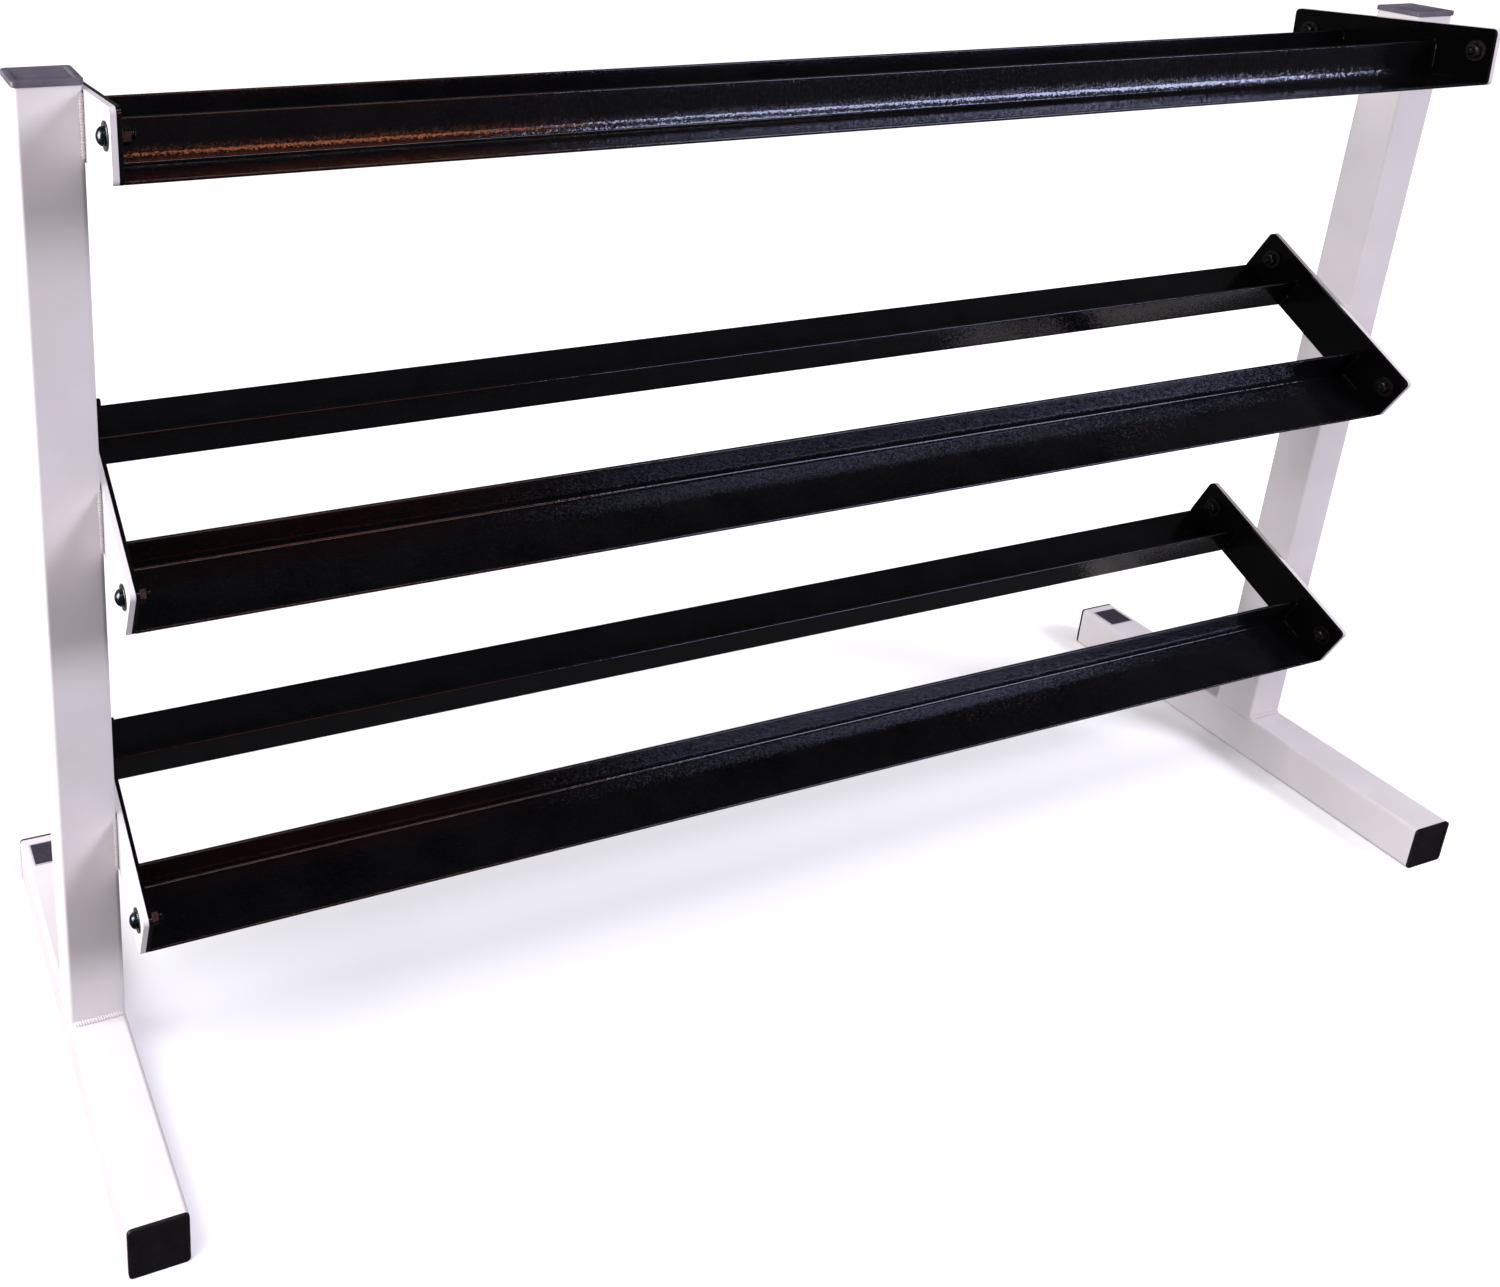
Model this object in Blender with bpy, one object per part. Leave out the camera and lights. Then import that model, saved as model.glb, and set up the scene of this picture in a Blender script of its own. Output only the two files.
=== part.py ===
"""Three-tier dumbbell rack: two side frames that carry three angle-rail shelves.

X runs along the shelves, -Y is the front and Z is up. Everything is in metres.
"""
import math

import bmesh
import bpy
from mathutils import Matrix, Vector

# Side frames
TUBE_SIZE = 0.0508
TUBE_WALL = 0.0026
TUBE_CORNER = 0.004
CLEAR_WIDTH = 1.397
FOOT_LENGTH = 0.512
UPRIGHT_TOP = 0.9133
FIT_GAP = 0.0003

# Plastic end caps
FOOT_CAP_HEAD = 0.003
TOP_CAP_HEAD = 0.0048
TOP_CAP_OVERHANG = 0.0012
TOP_CAP_RECESS = 0.002
TOP_CAP_RIM = 0.003
CAP_PLUG_DEPTH = 0.012
CAP_PLUG_GAP = 0.0004

# Shelves
PLATE_LENGTH = 0.235
PLATE_HEIGHT = 0.056
PLATE_CORNER = 0.005
BRACKET_THICKNESS = 0.0048
END_PLATE_THICKNESS = 0.0032
RAIL_LEDGE = 0.064
RAIL_LIP = 0.0381
RAIL_THICKNESS = 0.0032
RAIL_INNER_RADIUS = 0.003
RAIL_EDGE_RADIUS = 0.0009
RAIL_INSET = 0.001
SHELVES = {
    "top": {"height": 0.8804, "forward": 0.0015, "tilt": math.radians(-4.0)},
    "middle": {"height": 0.5667, "forward": 0.0045, "tilt": math.radians(28.3)},
    "bottom": {"height": 0.2491, "forward": 0.003, "tilt": math.radians(24.2)},
}

# Fasteners
BOLT_REAR_INSET = 0.022
BOLT_FRONT_INSET = 0.0165
BOLT_HEIGHT = 0.0335
BOLT_RADIUS = 0.004
HOLE_RADIUS = 0.0045
HEAD_RADIUS = 0.0073
HEAD_HEIGHT = 0.0058
WASHER_RADIUS = 0.011
WASHER_THICKNESS = 0.0016
NUT_FLATS = 0.013
NUT_HEIGHT = 0.0065
NUT_BORE = 0.0044
BOLT_TIP = 0.0045
BOLT_CHAMFER = 0.0008

# Blank labels on the feet
LABEL_WIDTH = 0.036
LABEL_LENGTH = 0.036
LABEL_THICKNESS = 0.0004
LABEL_BACK_INSET = 0.010

CORNER_STEPS = 3
BOLT_SIDES = 16
HEAD_STEPS = 4
NUT_SIDES = 12

SIDES = {"left": -1, "right": 1}
INNER_FACE = CLEAR_WIDTH / 2
TUBE_CENTRE = INNER_FACE + TUBE_SIZE / 2
BRACKET_INNER = INNER_FACE - FIT_GAP - BRACKET_THICKNESS
END_PLATE_INNER = BRACKET_INNER - FIT_GAP - END_PLATE_THICKNESS
RAIL_HALF_LENGTH = END_PLATE_INNER - FIT_GAP

MATERIALS = {
    "white_powder_coat": ((0.80, 0.78, 0.80), 0.0, 0.45),
    "black_powder_coat": ((0.012, 0.012, 0.014), 0.0, 0.35),
    "black_plastic": ((0.025, 0.022, 0.027), 0.0, 0.6),
    "black_oxide": ((0.03, 0.03, 0.032), 0.8, 0.4),
    "label_film": ((0.05, 0.045, 0.05), 0.0, 0.5),
}


def make_material(name):
    """Return a new Principled material with the named colour and roughness."""
    colour, metallic, roughness = MATERIALS[name]
    material = bpy.data.materials.new(name)
    material.use_nodes = True
    shader = material.node_tree.nodes["Principled BSDF"]
    shader.inputs["Base Color"].default_value = (*colour, 1.0)
    shader.inputs["Metallic"].default_value = metallic
    shader.inputs["Roughness"].default_value = roughness
    return material


def add_object(name, bm, material_name, transform=None):
    """Turn a bmesh into a named object with its own material."""
    if transform is not None:
        bmesh.ops.transform(bm, matrix=transform, verts=bm.verts)
    bmesh.ops.remove_doubles(bm, verts=bm.verts, dist=1e-6)
    bmesh.ops.recalc_face_normals(bm, faces=bm.faces)
    mesh = bpy.data.meshes.new(name)
    bm.to_mesh(mesh)
    bm.free()
    mesh.materials.append(make_material(material_name))
    thing = bpy.data.objects.new(name, mesh)
    bpy.context.scene.collection.objects.link(thing)
    return thing


def arc_points(centre, radius, start, end, steps):
    """Points on an arc, both ends included."""
    points = []
    for step in range(steps + 1):
        angle = start + (end - start) * step / steps
        points.append((centre[0] + radius * math.cos(angle), centre[1] + radius * math.sin(angle)))
    return points


def rounded_rectangle(width, height, radius, steps=CORNER_STEPS):
    """Outline of a centred rectangle with round corners, counter-clockwise."""
    half_w = width / 2 - radius
    half_h = height / 2 - radius
    corners = [(half_w, half_h), (-half_w, half_h), (-half_w, -half_h), (half_w, -half_h)]
    points = []
    for index, corner in enumerate(corners):
        start = index * math.pi / 2
        points += arc_points(corner, radius, start, start + math.pi / 2, steps)
    return points


def add_ring(bm, points, level):
    """Add a loop of vertices at one level along Z."""
    return [bm.verts.new((x, y, level)) for x, y in points]


def bridge_rings(bm, first, second):
    """Join two loops that have the same number of vertices with quads."""
    count = len(first)
    for index in range(count):
        following = (index + 1) % count
        bm.faces.new((first[index], first[following], second[following], second[index]))


def stack_rings(bm, rings, closed=False):
    """Skin a stack of (outline, level) rings, either capped or closed on itself."""
    loops = [add_ring(bm, outline, level) for outline, level in rings]
    for lower, upper in zip(loops, loops[1:]):
        bridge_rings(bm, lower, upper)
    if closed:
        bridge_rings(bm, loops[-1], loops[0])
    else:
        bm.faces.new(loops[0])
        bm.faces.new(loops[-1])


def square_tube(length):
    """Open-ended square tube along Z, centred on the axis, from 0 to length."""
    bm = bmesh.new()
    outer = rounded_rectangle(TUBE_SIZE, TUBE_SIZE, TUBE_CORNER)
    inner_size = TUBE_SIZE - 2 * TUBE_WALL
    inner = rounded_rectangle(inner_size, inner_size, TUBE_CORNER - TUBE_WALL)
    rings = [(outer, 0.0), (outer, length), (inner, length), (inner, 0.0)]
    stack_rings(bm, rings, closed=True)
    return bm


def plug_outline():
    """Outline of a cap's plug, a loose fit in the tube's bore."""
    size = TUBE_SIZE - 2 * (TUBE_WALL + CAP_PLUG_GAP)
    return rounded_rectangle(size, size, TUBE_CORNER - TUBE_WALL)


def foot_cap():
    """Flush plug cap: plug below Z = 0, head from the gap upwards."""
    bm = bmesh.new()
    plug = plug_outline()
    head = rounded_rectangle(TUBE_SIZE, TUBE_SIZE, TUBE_CORNER)
    face_size = TUBE_SIZE - FOOT_CAP_HEAD / 2
    face = rounded_rectangle(face_size, face_size, TUBE_CORNER)
    edge = FIT_GAP + FOOT_CAP_HEAD * 0.75
    top = FIT_GAP + FOOT_CAP_HEAD
    rings = [(plug, -CAP_PLUG_DEPTH), (plug, FIT_GAP), (head, FIT_GAP), (head, edge), (face, top)]
    stack_rings(bm, rings)
    return bm


def top_cap():
    """Overhanging plug cap with a rim around a recessed top."""
    bm = bmesh.new()
    plug = plug_outline()
    head_size = TUBE_SIZE + 2 * TOP_CAP_OVERHANG
    head = rounded_rectangle(head_size, head_size, TUBE_CORNER)
    rim_size = head_size - 2 * TOP_CAP_RIM
    rim = rounded_rectangle(rim_size, rim_size, TUBE_CORNER - TUBE_WALL)
    top = FIT_GAP + TOP_CAP_HEAD
    rings = [
        (plug, -CAP_PLUG_DEPTH),
        (plug, FIT_GAP),
        (head, FIT_GAP),
        (head, top),
        (rim, top),
        (rim, top - TOP_CAP_RECESS),
    ]
    stack_rings(bm, rings)
    return bm


def add_side_frame(side, sign):
    """Foot tube, upright tube, their caps and the blank label of one side."""
    centre_x = sign * TUBE_CENTRE
    along_foot = Matrix.Rotation(math.radians(90), 4, "X")
    foot_start = Vector((centre_x, FOOT_LENGTH / 2, TUBE_SIZE / 2))
    add_object(
        f"{side}_foot_tube",
        square_tube(FOOT_LENGTH),
        "white_powder_coat",
        Matrix.Translation(foot_start) @ along_foot,
    )
    for end, direction in (("front", 1), ("rear", -1)):
        turn = Matrix.Rotation(math.radians(90 * direction), 4, "X")
        place = Vector((centre_x, -direction * FOOT_LENGTH / 2, TUBE_SIZE / 2))
        add_object(
            f"{side}_{end}_foot_cap",
            foot_cap(),
            "black_plastic",
            Matrix.Translation(place) @ turn,
        )
    upright_base = TUBE_SIZE + FIT_GAP
    add_object(
        f"{side}_upright",
        square_tube(UPRIGHT_TOP - upright_base),
        "white_powder_coat",
        Matrix.Translation((centre_x, 0.0, upright_base)),
    )
    add_object(
        f"{side}_top_cap",
        top_cap(),
        "black_plastic",
        Matrix.Translation((centre_x, 0.0, UPRIGHT_TOP)),
    )
    label = bmesh.new()
    outline = rounded_rectangle(LABEL_WIDTH, LABEL_LENGTH, LABEL_WIDTH / 20)
    stack_rings(label, [(outline, 0.0), (outline, LABEL_THICKNESS)])
    label_y = FOOT_LENGTH / 2 - LABEL_BACK_INSET - LABEL_LENGTH / 2
    add_object(
        f"{side}_label",
        label,
        "label_film",
        Matrix.Translation((centre_x, label_y, TUBE_SIZE + FIT_GAP)),
    )


def shelf_frame(shelf):
    """Matrix from a shelf's own axes (Y to the rear, Z up from its ledge) to the rack's."""
    values = SHELVES[shelf]
    place = Matrix.Translation((0.0, -values["forward"], values["height"]))
    return place @ Matrix.Rotation(values["tilt"], 4, "X")


def bolt_places():
    """Bolt positions on the end plates, in the shelf's own Y and Z."""
    height = BOLT_HEIGHT - PLATE_HEIGHT / 2
    rear = PLATE_LENGTH / 2 - BOLT_REAR_INSET
    front = -PLATE_LENGTH / 2 + BOLT_FRONT_INSET
    return {"rear": (rear, height), "front": (front, height)}


def drilled_plate(thickness):
    """Plate in YZ with two bolt holes, from X = 0 to its thickness."""
    bm = bmesh.new()
    outlines = [rounded_rectangle(PLATE_LENGTH, PLATE_HEIGHT, PLATE_CORNER)]
    for place in bolt_places().values():
        hole = arc_points(place, HOLE_RADIUS, 0.0, 2 * math.pi, BOLT_SIDES)
        outlines.append(hole[:-1])
    edges = []
    for outline in outlines:
        loop = [bm.verts.new((0.0, y, z)) for y, z in outline]
        for index, vertex in enumerate(loop):
            edges.append(bm.edges.new((vertex, loop[(index + 1) % len(loop)])))
    bmesh.ops.triangle_fill(bm, use_beauty=True, use_dissolve=False, edges=edges)
    extruded = bmesh.ops.extrude_face_region(bm, geom=bm.faces[:])
    moved = [item for item in extruded["geom"] if isinstance(item, bmesh.types.BMVert)]
    bmesh.ops.translate(bm, verts=moved, vec=(thickness, 0.0, 0.0))
    return bm


def rail_outline(sign):
    """L-angle section in the shelf's Y and Z: sign 1 is the rear rail, -1 the front one."""
    outer_end = PLATE_LENGTH / 2 - RAIL_INSET
    corner_y = outer_end - RAIL_LEDGE
    base = -PLATE_HEIGHT / 2 + RAIL_INSET / 2
    ledge_top = base + RAIL_THICKNESS
    lip_top = base + RAIL_LIP
    lip_face = corner_y + RAIL_THICKNESS
    edge = RAIL_EDGE_RADIUS
    half_pi = math.pi / 2
    fillet = RAIL_INNER_RADIUS
    fillet_centre = (lip_face + fillet, ledge_top + fillet)
    heel = RAIL_THICKNESS / 2
    points = arc_points((corner_y + heel, base + heel), heel, 2 * half_pi, 3 * half_pi, CORNER_STEPS)
    points += [(outer_end - edge, base), (outer_end, base + edge)]
    points += [(outer_end, ledge_top - edge), (outer_end - edge, ledge_top)]
    points += arc_points(fillet_centre, fillet, 3 * half_pi, 2 * half_pi, CORNER_STEPS)
    points += [(lip_face, lip_top - edge), (lip_face - edge, lip_top)]
    points += [(corner_y + edge, lip_top), (corner_y, lip_top - edge)]
    return [(sign * y, z) for y, z in points]


def angle_rail(sign):
    """L-angle rail along X between the two end plates."""
    bm = bmesh.new()
    loops = []
    for end in (-RAIL_HALF_LENGTH, RAIL_HALF_LENGTH):
        loops.append([bm.verts.new((end, y, z)) for y, z in rail_outline(sign)])
    bridge_rings(bm, loops[0], loops[1])
    bm.faces.new(loops[0])
    bm.faces.new(loops[1])
    return bm


def bolt_body():
    """Domed bolt with its washer: the washer's seat is at Z = 0 and the shank runs to -Z."""
    bm = bmesh.new()
    shank_end = -(BRACKET_THICKNESS + END_PLATE_THICKNESS + 3 * FIT_GAP)
    shank_end -= WASHER_THICKNESS + NUT_HEIGHT + BOLT_TIP
    profile = [
        (BOLT_RADIUS - BOLT_CHAMFER, shank_end),
        (BOLT_RADIUS, shank_end + BOLT_CHAMFER),
        (BOLT_RADIUS, 0.0),
        (WASHER_RADIUS, 0.0),
        (WASHER_RADIUS, WASHER_THICKNESS),
        (HEAD_RADIUS, WASHER_THICKNESS),
    ]
    for step in range(1, HEAD_STEPS):
        angle = math.pi / 2 * step / HEAD_STEPS
        radius = HEAD_RADIUS * math.cos(angle)
        profile.append((radius, WASHER_THICKNESS + HEAD_HEIGHT * math.sin(angle)))
    rings = []
    for radius, level in profile:
        ring = arc_points((0.0, 0.0), radius, 0.0, 2 * math.pi, BOLT_SIDES)
        rings.append((ring[:-1], level))
    stack_rings(bm, rings)
    return bm


def nut_body():
    """Hex nut on its washer: the washer's seat is at Z = 0 and the nut is above it."""
    bm = bmesh.new()
    washer = arc_points((0.0, 0.0), WASHER_RADIUS, 0.0, 2 * math.pi, NUT_SIDES)[:-1]
    bore = arc_points((0.0, 0.0), NUT_BORE, 0.0, 2 * math.pi, NUT_SIDES)[:-1]
    hexagon = []
    for step in range(NUT_SIDES):
        angle = 2 * math.pi * step / NUT_SIDES
        at_corner = step % 2 == 0
        radius = NUT_FLATS / 2 / math.cos(math.pi / 6) if at_corner else NUT_FLATS / 2
        hexagon.append((radius * math.cos(angle), radius * math.sin(angle)))
    top = WASHER_THICKNESS + NUT_HEIGHT
    rings = [
        (bore, 0.0),
        (washer, 0.0),
        (washer, WASHER_THICKNESS),
        (hexagon, WASHER_THICKNESS),
        (hexagon, top),
        (bore, top),
    ]
    stack_rings(bm, rings, closed=True)
    return bm


def add_shelf(shelf):
    """Brackets, end plates, rails, bolts and nuts of one shelf."""
    frame = shelf_frame(shelf)
    for side, sign in SIDES.items():
        bracket_x = min(sign * BRACKET_INNER, sign * (BRACKET_INNER + BRACKET_THICKNESS))
        end_plate_x = min(sign * END_PLATE_INNER, sign * (END_PLATE_INNER + END_PLATE_THICKNESS))
        add_object(
            f"{shelf}_{side}_bracket",
            drilled_plate(BRACKET_THICKNESS),
            "white_powder_coat",
            frame @ Matrix.Translation((bracket_x, 0.0, 0.0)),
        )
        add_object(
            f"{shelf}_{side}_end_plate",
            drilled_plate(END_PLATE_THICKNESS),
            "black_powder_coat",
            frame @ Matrix.Translation((end_plate_x, 0.0, 0.0)),
        )
        outward = Matrix.Rotation(sign * math.pi / 2, 4, "Y")
        inward = Matrix.Rotation(-sign * math.pi / 2, 4, "Y")
        head_x = sign * (BRACKET_INNER + BRACKET_THICKNESS + FIT_GAP)
        nut_x = sign * (END_PLATE_INNER - FIT_GAP)
        for end, (y, z) in bolt_places().items():
            add_object(
                f"{shelf}_{side}_{end}_bolt",
                bolt_body(),
                "black_oxide",
                frame @ Matrix.Translation((head_x, y, z)) @ outward,
            )
            add_object(
                f"{shelf}_{side}_{end}_nut",
                nut_body(),
                "black_oxide",
                frame @ Matrix.Translation((nut_x, y, z)) @ inward,
            )
    for end, sign in (("rear", 1), ("front", -1)):
        add_object(f"{shelf}_{end}_rail", angle_rail(sign), "black_powder_coat", frame)


def main():
    """Clear the scene and build the rack."""
    for thing in list(bpy.data.objects):
        bpy.data.objects.remove(thing, do_unlink=True)
    for side, sign in SIDES.items():
        add_side_frame(side, sign)
    for shelf in SHELVES:
        add_shelf(shelf)


if __name__ == "__main__":
    main()
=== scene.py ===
"""Looks of a three-tier dumbbell rack: white side frames and black angle-rail shelves.

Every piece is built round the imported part, in metres. X runs along the shelves,
-Y is the front and Z is up.
"""

import logging
import math
import random
from dataclasses import dataclass, field, replace
from enum import Enum

import bmesh
import bpy
from mathutils import Matrix, Vector


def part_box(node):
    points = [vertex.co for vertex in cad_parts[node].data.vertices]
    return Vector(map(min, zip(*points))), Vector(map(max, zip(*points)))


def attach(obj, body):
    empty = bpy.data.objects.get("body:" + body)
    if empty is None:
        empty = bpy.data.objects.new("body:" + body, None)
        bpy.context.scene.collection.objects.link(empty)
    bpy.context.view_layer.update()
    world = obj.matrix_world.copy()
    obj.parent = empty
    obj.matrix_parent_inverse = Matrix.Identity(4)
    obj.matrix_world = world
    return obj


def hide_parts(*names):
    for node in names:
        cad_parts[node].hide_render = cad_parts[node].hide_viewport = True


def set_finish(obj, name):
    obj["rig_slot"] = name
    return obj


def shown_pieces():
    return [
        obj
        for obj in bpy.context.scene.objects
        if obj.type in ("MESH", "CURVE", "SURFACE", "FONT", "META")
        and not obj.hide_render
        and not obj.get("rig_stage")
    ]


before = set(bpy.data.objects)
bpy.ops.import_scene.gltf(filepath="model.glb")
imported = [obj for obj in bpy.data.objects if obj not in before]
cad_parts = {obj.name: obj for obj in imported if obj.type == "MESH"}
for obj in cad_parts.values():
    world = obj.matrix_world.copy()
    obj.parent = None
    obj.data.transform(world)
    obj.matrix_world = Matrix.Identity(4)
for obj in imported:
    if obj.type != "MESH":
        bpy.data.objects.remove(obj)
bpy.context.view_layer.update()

LOG = logging.getLogger("dumbbell_rack")
MM = 0.001
BODY = "root"
MERGE_DISTANCE = 1e-6
SHARP_ANGLE = math.radians(38)
# Cosines past which an edge counts as running along an axis, and a face as square to it.
PARALLEL = 0.999
SQUARE_ON = 0.99
# Noise gathers round 0.5. These are the parts of its spread that each pattern stretches.
DRIFT_SPREAD = (0.32, 0.68)
RELIEF_SPREAD = (0.3, 0.7)
FLECK_SPREAD = (0.62, 0.74)
# Sockets of a colour Mix node, by number because their names repeat for each type.
MIX_SHARE, MIX_FROM, MIX_TO, MIX_RESULT = 0, 6, 7, 2


class Side(Enum):
    """The two side frames, with the sign of their X."""

    LEFT = -1
    RIGHT = 1

    @property
    def label(self) -> str:
        """The side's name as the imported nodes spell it."""
        return self.name.lower()


class End(Enum):
    """Front and rear, with the sign of their Y."""

    FRONT = -1
    REAR = 1

    @property
    def label(self) -> str:
        """The end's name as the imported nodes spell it."""
        return self.name.lower()


class Tier(Enum):
    """The shelves, with the tilt of each in degrees."""

    TOP = -4.0
    MIDDLE = 28.3
    BOTTOM = 24.2

    @property
    def label(self) -> str:
        """The tier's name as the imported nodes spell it."""
        return self.name.lower()


class Slot(Enum):
    """The record's material slots."""

    WHITE = "white_powder_coat"
    BLACK = "black_powder_coat"
    PLASTIC = "black_plastic"
    OXIDE = "black_oxide"
    LABEL = "label_film"


def to_linear(colour: str) -> tuple[float, float, float, float]:
    """Turn an sRGB hex colour into linear RGBA.

    Args:
        colour: Six hex digits after a hash.

    Returns:
        Linear red, green and blue, and an alpha of 1.
    """
    channels = []
    for start in (1, 3, 5):
        value = int(colour[start : start + 2], 16) / 255
        channels.append(value / 12.92 if value <= 0.04045 else ((value + 0.055) / 1.055) ** 2.4)
    return (*channels, 1.0)


def per_metre(size_mm: float) -> float:
    """Texture scale on Object coordinates for features of a size in millimetres."""
    return 1000.0 / size_mm


def add_node(
    tree: bpy.types.NodeTree, kind: str, inputs: dict | None = None, **settings: object
) -> bpy.types.Node:
    """Add a node with its settings, socket values and links.

    Args:
        tree: The node tree that gets the node.
        kind: The node's Blender type.
        inputs: Socket name or number to a value, or to the output that feeds it.
        **settings: The node's own properties.

    Returns:
        The new node.
    """
    node = tree.nodes.new(kind)
    for name, value in settings.items():
        setattr(node, name, value)
    for key, value in (inputs or {}).items():
        if isinstance(value, bpy.types.NodeSocket):
            tree.links.new(value, node.inputs[key])
        else:
            node.inputs[key].default_value = value
    return node


@dataclass(frozen=True)
class Finish:
    """A surface finish: two close colours that drift into each other, gloss and a fine relief.

    A textured coat also has flecks, and grains that each lean their own way.
    """

    name: str
    colour: str
    drift_colour: str
    drift_mm: float
    roughness: float
    roughness_drift: float
    relief_mm: float
    relief_height_mm: float
    relief_detail: float
    metallic: float = 0.0
    ior: float = 1.5
    specular: float = 0.5
    fleck_colour: str = ""
    fleck_mm: float = 1.0
    fleck_share: float = 0.0
    grain_mm: float = 0.0
    grain_tilt: float = 0.0

    def build(self) -> bpy.types.Material:
        """Make the finish's material, or find it again.

        Returns:
            The material.
        """
        found = bpy.data.materials.get(self.name)
        if found is not None:
            return found
        material = bpy.data.materials.new(self.name)
        material.use_nodes = True
        tree = material.node_tree
        tree.nodes.clear()
        place = add_node(tree, "ShaderNodeTexCoord").outputs["Object"]
        drift = add_node(
            tree,
            "ShaderNodeTexNoise",
            {"Vector": place, "Scale": per_metre(self.drift_mm), "Detail": 3.0, "Roughness": 0.55},
        ).outputs["Fac"]
        drift_range = add_node(
            tree,
            "ShaderNodeMapRange",
            {"Value": drift, "From Min": DRIFT_SPREAD[0], "From Max": DRIFT_SPREAD[1]},
        ).outputs["Result"]
        colour = add_node(
            tree,
            "ShaderNodeMix",
            {
                MIX_SHARE: drift_range,
                MIX_FROM: to_linear(self.colour),
                MIX_TO: to_linear(self.drift_colour),
            },
            data_type="RGBA",
        ).outputs[MIX_RESULT]
        relief = add_node(
            tree,
            "ShaderNodeTexNoise",
            {
                "Vector": place,
                "Scale": per_metre(self.relief_mm),
                "Detail": self.relief_detail,
                "Roughness": 0.6,
            },
        ).outputs["Fac"]
        if self.fleck_share > 0:
            fleck = add_node(
                tree,
                "ShaderNodeTexNoise",
                {"Vector": place, "Scale": per_metre(self.fleck_mm), "Detail": 1.0},
            ).outputs["Fac"]
            fleck_mask = add_node(
                tree,
                "ShaderNodeMapRange",
                {
                    "Value": fleck,
                    "From Min": FLECK_SPREAD[0],
                    "From Max": FLECK_SPREAD[1],
                    "To Max": self.fleck_share,
                },
            ).outputs["Result"]
            colour = add_node(
                tree,
                "ShaderNodeMix",
                {MIX_SHARE: fleck_mask, MIX_FROM: colour, MIX_TO: to_linear(self.fleck_colour)},
                data_type="RGBA",
            ).outputs[MIX_RESULT]
        gloss = add_node(
            tree,
            "ShaderNodeMapRange",
            {
                "Value": relief,
                "From Min": RELIEF_SPREAD[0],
                "From Max": RELIEF_SPREAD[1],
                "To Min": self.roughness - self.roughness_drift,
                "To Max": self.roughness + self.roughness_drift,
            },
        ).outputs["Result"]
        bump = add_node(
            tree,
            "ShaderNodeBump",
            {"Height": relief, "Strength": 1.0, "Distance": self.relief_height_mm * MM},
        ).outputs["Normal"]
        if self.grain_tilt > 0:
            bump = self._tilt_grains(tree, place, bump)
        shader = add_node(
            tree,
            "ShaderNodeBsdfPrincipled",
            {
                "Base Color": colour,
                "Metallic": self.metallic,
                "Roughness": gloss,
                "Normal": bump,
                "Specular IOR Level": self.specular,
            },
        )
        if self.metallic == 0.0:
            shader.inputs["IOR"].default_value = self.ior
        add_node(tree, "ShaderNodeOutputMaterial", {"Surface": shader.outputs["BSDF"]})
        return material

    def _tilt_grains(
        self, tree: bpy.types.NodeTree, place: bpy.types.NodeSocket, normal: bpy.types.NodeSocket
    ) -> bpy.types.NodeSocket:
        """Lean each grain of the coat its own way, so that a mirrored lamp breaks into sparks.

        Args:
            tree: The material's node tree.
            place: The coordinates that the pattern reads.
            normal: The surface's normal before the grains.

        Returns:
            The leaning normal.
        """
        grains = add_node(
            tree,
            "ShaderNodeTexVoronoi",
            {"Vector": place, "Scale": per_metre(self.grain_mm)},
            feature="F1",
        ).outputs["Color"]
        lean = add_node(
            tree,
            "ShaderNodeVectorMath",
            {0: grains, 1: (self.grain_tilt,) * 3, 2: (-self.grain_tilt / 2,) * 3},
            operation="MULTIPLY_ADD",
        ).outputs["Vector"]
        leaning = add_node(
            tree, "ShaderNodeVectorMath", {0: normal, 1: lean}, operation="ADD"
        ).outputs["Vector"]
        return add_node(
            tree, "ShaderNodeVectorMath", {0: leaning}, operation="NORMALIZE"
        ).outputs["Vector"]


# Polyester powder coat baked on steel tube: satin white with a faint lilac cast, and the
# shallow orange peel that powder leaves as it melts.
WHITE_COAT = Finish(
    name="white_polyester_powder_coat",
    colour="#C5BFC2",
    drift_colour="#BFB9BB",
    drift_mm=70.0,
    roughness=0.42,
    roughness_drift=0.06,
    relief_mm=2.6,
    relief_height_mm=0.05,
    relief_detail=2.0,
)
# Fine-texture powder coat on hot-rolled angle: a semi-gloss black skin of small grains
# that glitter where a light is mirrored. The real grain is about 0.3 mm and is drawn at
# 1.3 mm so that it shows.
BLACK_COAT = Finish(
    name="black_fine_texture_powder_coat",
    colour="#030304",
    drift_colour="#060607",
    drift_mm=45.0,
    roughness=0.12,
    roughness_drift=0.03,
    relief_mm=3.0,
    relief_height_mm=0.02,
    relief_detail=1.0,
    grain_mm=1.3,
    grain_tilt=0.075,
    specular=0.3,
    fleck_colour="#1E1712",
    fleck_mm=1.6,
    fleck_share=0.3,
)
# Moulded polyethylene caps: dull, slightly purple black with the fine spark texture of
# the mould, which is drawn at 0.9 mm, coarser than real, so that it shows.
# Near black, its own colour, kept a little darker as painted shade for the foot caps low on the
# floor.
CAP_PLASTIC = Finish(
    name="black_moulded_polyethylene",
    colour="#0F0D11",
    drift_colour="#161317",
    drift_mm=14.0,
    specular=0.35,
    roughness=0.52,
    roughness_drift=0.08,
    relief_mm=0.9,
    relief_height_mm=0.05,
    relief_detail=3.0,
)
# The same polyethylene on top of the uprights, a lighter grey copy as painted sheen: it stands in
# for the light that the top caps catch, where the foot caps sit in shade.
LIT_CAP_PLASTIC = replace(
    CAP_PLASTIC,
    name="greyed_moulded_polyethylene",
    colour="#4C4650",
    drift_colour="#5C5762",
    drift_mm=22.0,
    specular=0.5,
    roughness=0.42,
)
# Black-oxide steel: a thin oiled skin over bright metal, blue-black with brown tints and
# small hard highlights.
BLACK_OXIDE = Finish(
    name="black_oxide_steel",
    colour="#48545C",
    drift_colour="#413B3A",
    drift_mm=6.0,
    roughness=0.27,
    roughness_drift=0.06,
    relief_mm=1.2,
    relief_height_mm=0.012,
    relief_detail=2.0,
    metallic=1.0,
)
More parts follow.
